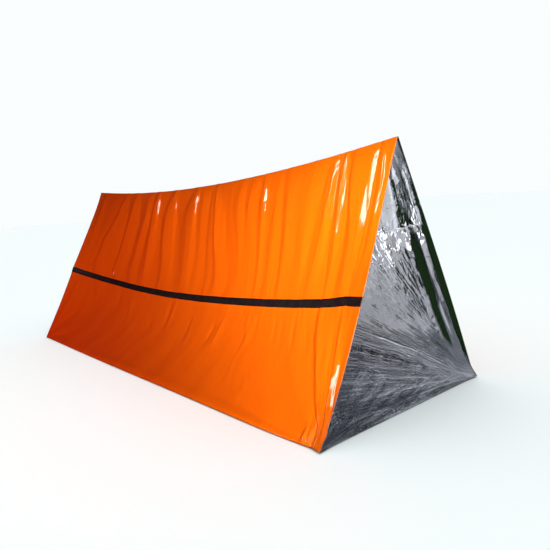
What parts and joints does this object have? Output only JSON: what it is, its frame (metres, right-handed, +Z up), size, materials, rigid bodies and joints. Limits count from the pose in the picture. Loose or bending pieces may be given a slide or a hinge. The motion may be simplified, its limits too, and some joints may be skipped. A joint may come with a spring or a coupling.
{
  "type": "emergency tube tent",
  "caption": "Emergency tube tent of coated film, pitched over a ridge line as hanging walls and a floor with open ends, with a dark band along the wall.",
  "frame": {"origin": "on the ground, under the middle of the tent", "axes": "+X along the tube towards the open near end, -Y towards the wall with the dark band, +Z up"},
  "size_m": [2.4018, 0.9295, 0.9468],
  "materials": {
    "film": "glossy coated film, orange outside and metallised silver inside",
    "band": "satin black"
  },
  "bodies": {
    "root": {"tube_film": "film", "side_band": "band"}
  },
  "joints": []
}
